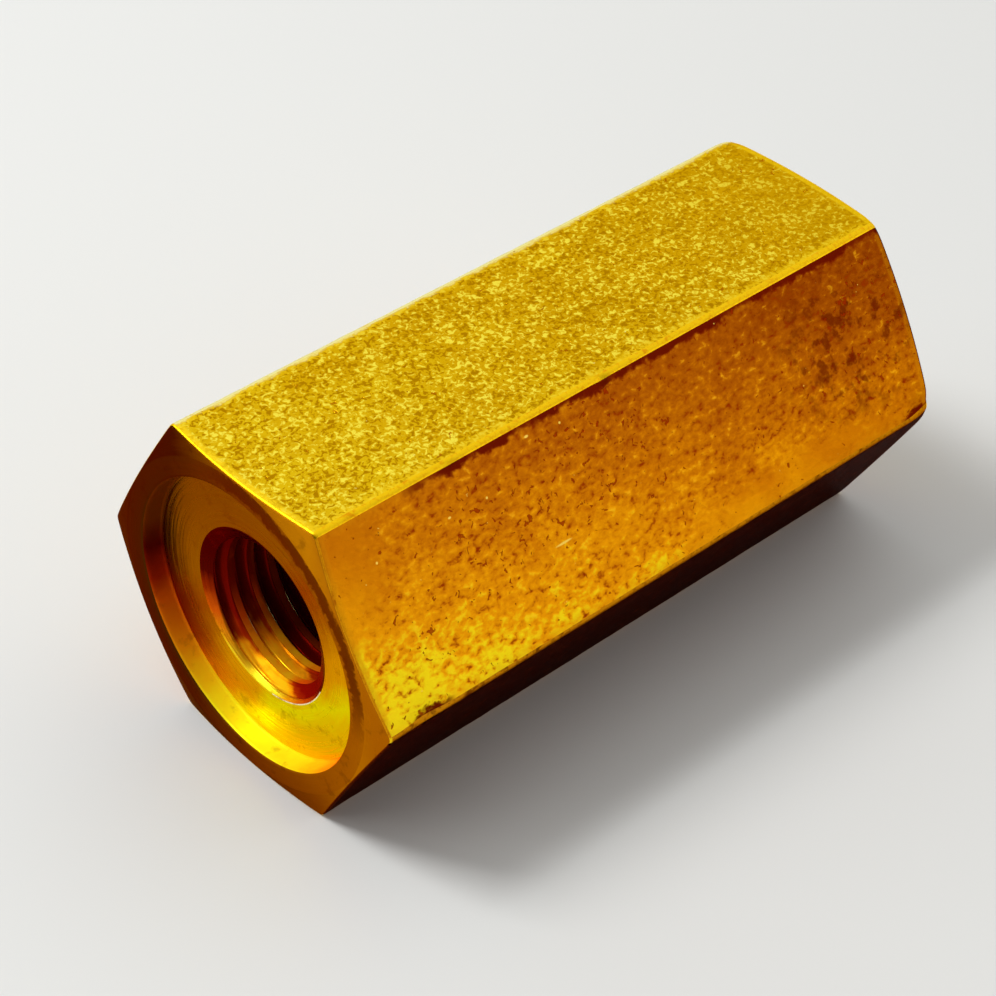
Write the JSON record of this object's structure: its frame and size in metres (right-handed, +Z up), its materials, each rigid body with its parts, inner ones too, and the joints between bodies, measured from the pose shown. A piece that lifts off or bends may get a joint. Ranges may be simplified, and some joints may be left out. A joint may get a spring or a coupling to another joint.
{
  "type": "coupling nut",
  "caption": "Long hexagonal brass nut with a through thread, recessed end faces and chamfered corners, for joining two threaded rods end to end.",
  "frame": {"origin": "under the middle of the nut, on the surface that it lies on", "axes": "+X along the thread, +Z up out of the upper flat, +Y level"},
  "size_m": [0.0332, 0.0182, 0.0159],
  "materials": {
    "brass": "satin, fine-grained flats with bright edges and turned ends"
  },
  "bodies": {
    "root": {"coupling_nut": "brass"}
  },
  "joints": []
}
